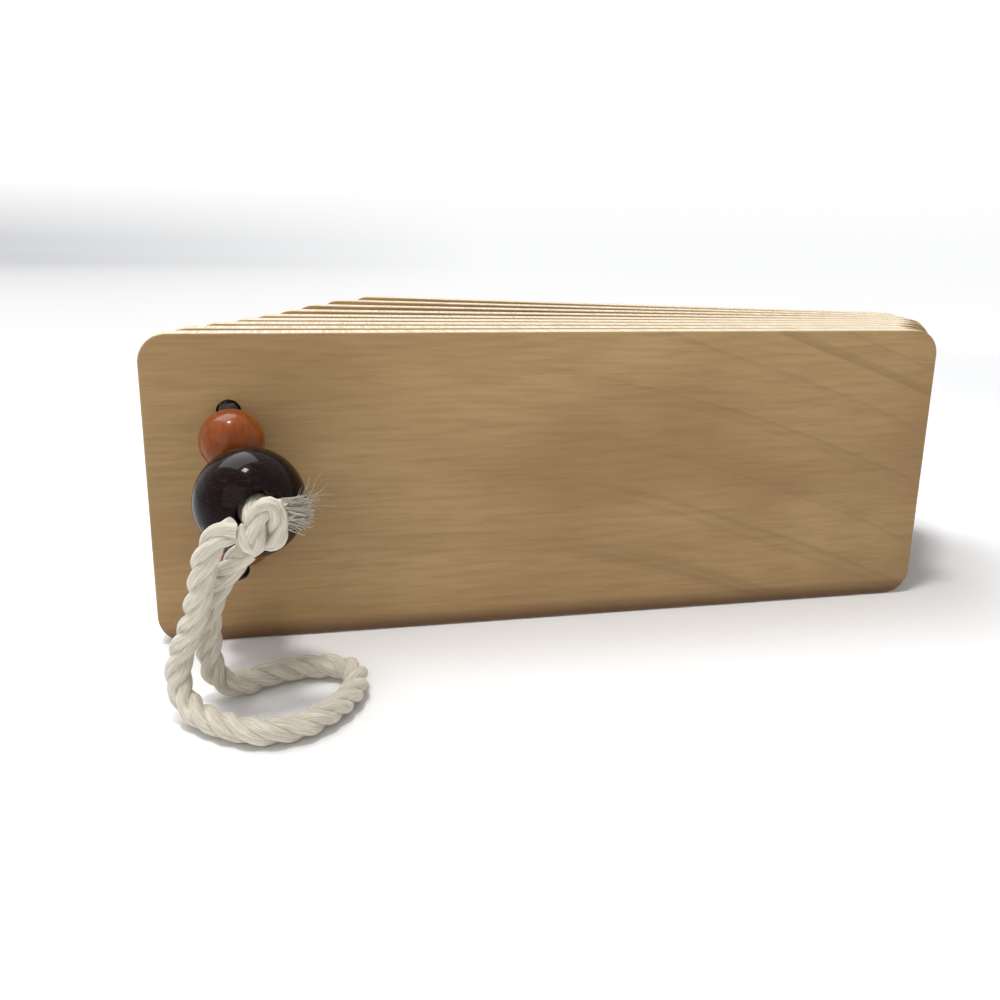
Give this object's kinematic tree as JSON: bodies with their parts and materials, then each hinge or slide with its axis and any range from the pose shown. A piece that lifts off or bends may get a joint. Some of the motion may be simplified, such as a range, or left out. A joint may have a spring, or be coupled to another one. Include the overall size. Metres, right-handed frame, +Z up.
{
  "type": "fan plate rattle",
  "caption": "Fan rattle of flat wooden plates strung on two cords with spacers, wooden beads and a finger loop.",
  "frame": {"origin": "middle of the front plate's lower long edge, on the surface it stands on", "axes": "+X along the front plate towards its free end, +Y from the front plate towards the rear ones, +Z up"},
  "size_m": [0.1941, 0.19, 0.06],
  "materials": {
    "pale_wood": "smooth sanded, uncoated",
    "amber_wood": "stained and lacquered",
    "dark_wood": "stained and lacquered, glossy",
    "cotton_cord": "twisted, unbleached"
  },
  "bodies": {
    "front_board": {"plate_1": "pale_wood", "upper_cord_1": "cotton_cord", "upper_spacer_1": "amber_wood", "lower_cord_1": "cotton_cord", "lower_spacer_1": "amber_wood", "upper_front_cord": "cotton_cord", "lower_front_cord": "cotton_cord", "upper_front_bead": "amber_wood", "lower_front_bead": "amber_wood", "large_front_bead": "dark_wood", "doubled_cord": "cotton_cord", "front_knot": "cotton_cord", "frayed_end": "cotton_cord", "loop_cord": "cotton_cord"},
    "board_2": {"plate_2": "pale_wood", "upper_cord_2": "cotton_cord", "upper_spacer_2": "amber_wood", "lower_cord_2": "cotton_cord", "lower_spacer_2": "amber_wood"},
    "board_3": {"plate_3": "pale_wood", "upper_cord_3": "cotton_cord", "upper_spacer_3": "amber_wood", "lower_cord_3": "cotton_cord", "lower_spacer_3": "amber_wood"},
    "board_4": {"plate_4": "pale_wood", "upper_cord_4": "cotton_cord", "upper_spacer_4": "amber_wood", "lower_cord_4": "cotton_cord", "lower_spacer_4": "amber_wood"},
    "board_5": {"plate_5": "pale_wood", "upper_cord_5": "cotton_cord", "upper_spacer_5": "amber_wood", "lower_cord_5": "cotton_cord", "lower_spacer_5": "amber_wood"},
    "board_6": {"plate_6": "pale_wood", "upper_cord_6": "cotton_cord", "upper_spacer_6": "amber_wood", "lower_cord_6": "cotton_cord", "lower_spacer_6": "amber_wood"},
    "board_7": {"plate_7": "pale_wood", "upper_cord_7": "cotton_cord", "upper_spacer_7": "amber_wood", "lower_cord_7": "cotton_cord", "lower_spacer_7": "amber_wood"},
    "board_8": {"plate_8": "pale_wood", "upper_cord_8": "cotton_cord", "upper_spacer_8": "amber_wood", "lower_cord_8": "cotton_cord", "lower_spacer_8": "amber_wood"},
    "board_9": {"plate_9": "pale_wood", "upper_cord_9": "cotton_cord", "lower_cord_9": "cotton_cord", "upper_back_bead": "amber_wood", "lower_back_bead": "amber_wood", "upper_back_knot": "cotton_cord", "lower_back_knot": "cotton_cord"}
  },
  "joints": [
    {"name": "fan_2", "type": "hinge", "parent": "front_board", "child": "board_2", "pos_m": [-0.06444, 0.0076, 0.03], "axis": [0, 0, 1], "range_deg": [0, 12]},
    {"name": "fan_3", "type": "hinge", "parent": "board_2", "child": "board_3", "pos_m": [-0.05957, 0.01806, 0.03], "axis": [0, 0, 1], "range_deg": [0, 9]},
    {"name": "fan_4", "type": "hinge", "parent": "board_3", "child": "board_4", "pos_m": [-0.05441, 0.02838, 0.03], "axis": [0, 0, 1], "range_deg": [0, 9]},
    {"name": "fan_5", "type": "hinge", "parent": "board_4", "child": "board_5", "pos_m": [-0.04978, 0.04003, 0.03], "axis": [0, 0, 1], "range_deg": [0, 16]},
    {"name": "fan_6", "type": "hinge", "parent": "board_5", "child": "board_6", "pos_m": [-0.04431, 0.05648, 0.03], "axis": [0, 0, 1], "range_deg": [0, 22]},
    {"name": "fan_7", "type": "hinge", "parent": "board_6", "child": "board_7", "pos_m": [-0.03853, 0.07674, 0.03], "axis": [0, 0, 1], "range_deg": [0, 25]},
    {"name": "fan_8", "type": "hinge", "parent": "board_7", "child": "board_8", "pos_m": [-0.03096, 0.09848, 0.03], "axis": [0, 0, 1], "range_deg": [0, 25]},
    {"name": "fan_9", "type": "hinge", "parent": "board_8", "child": "board_9", "pos_m": [-0.021, 0.11923, 0.03], "axis": [0, 0, 1], "range_deg": [0, 25]}
  ]
}
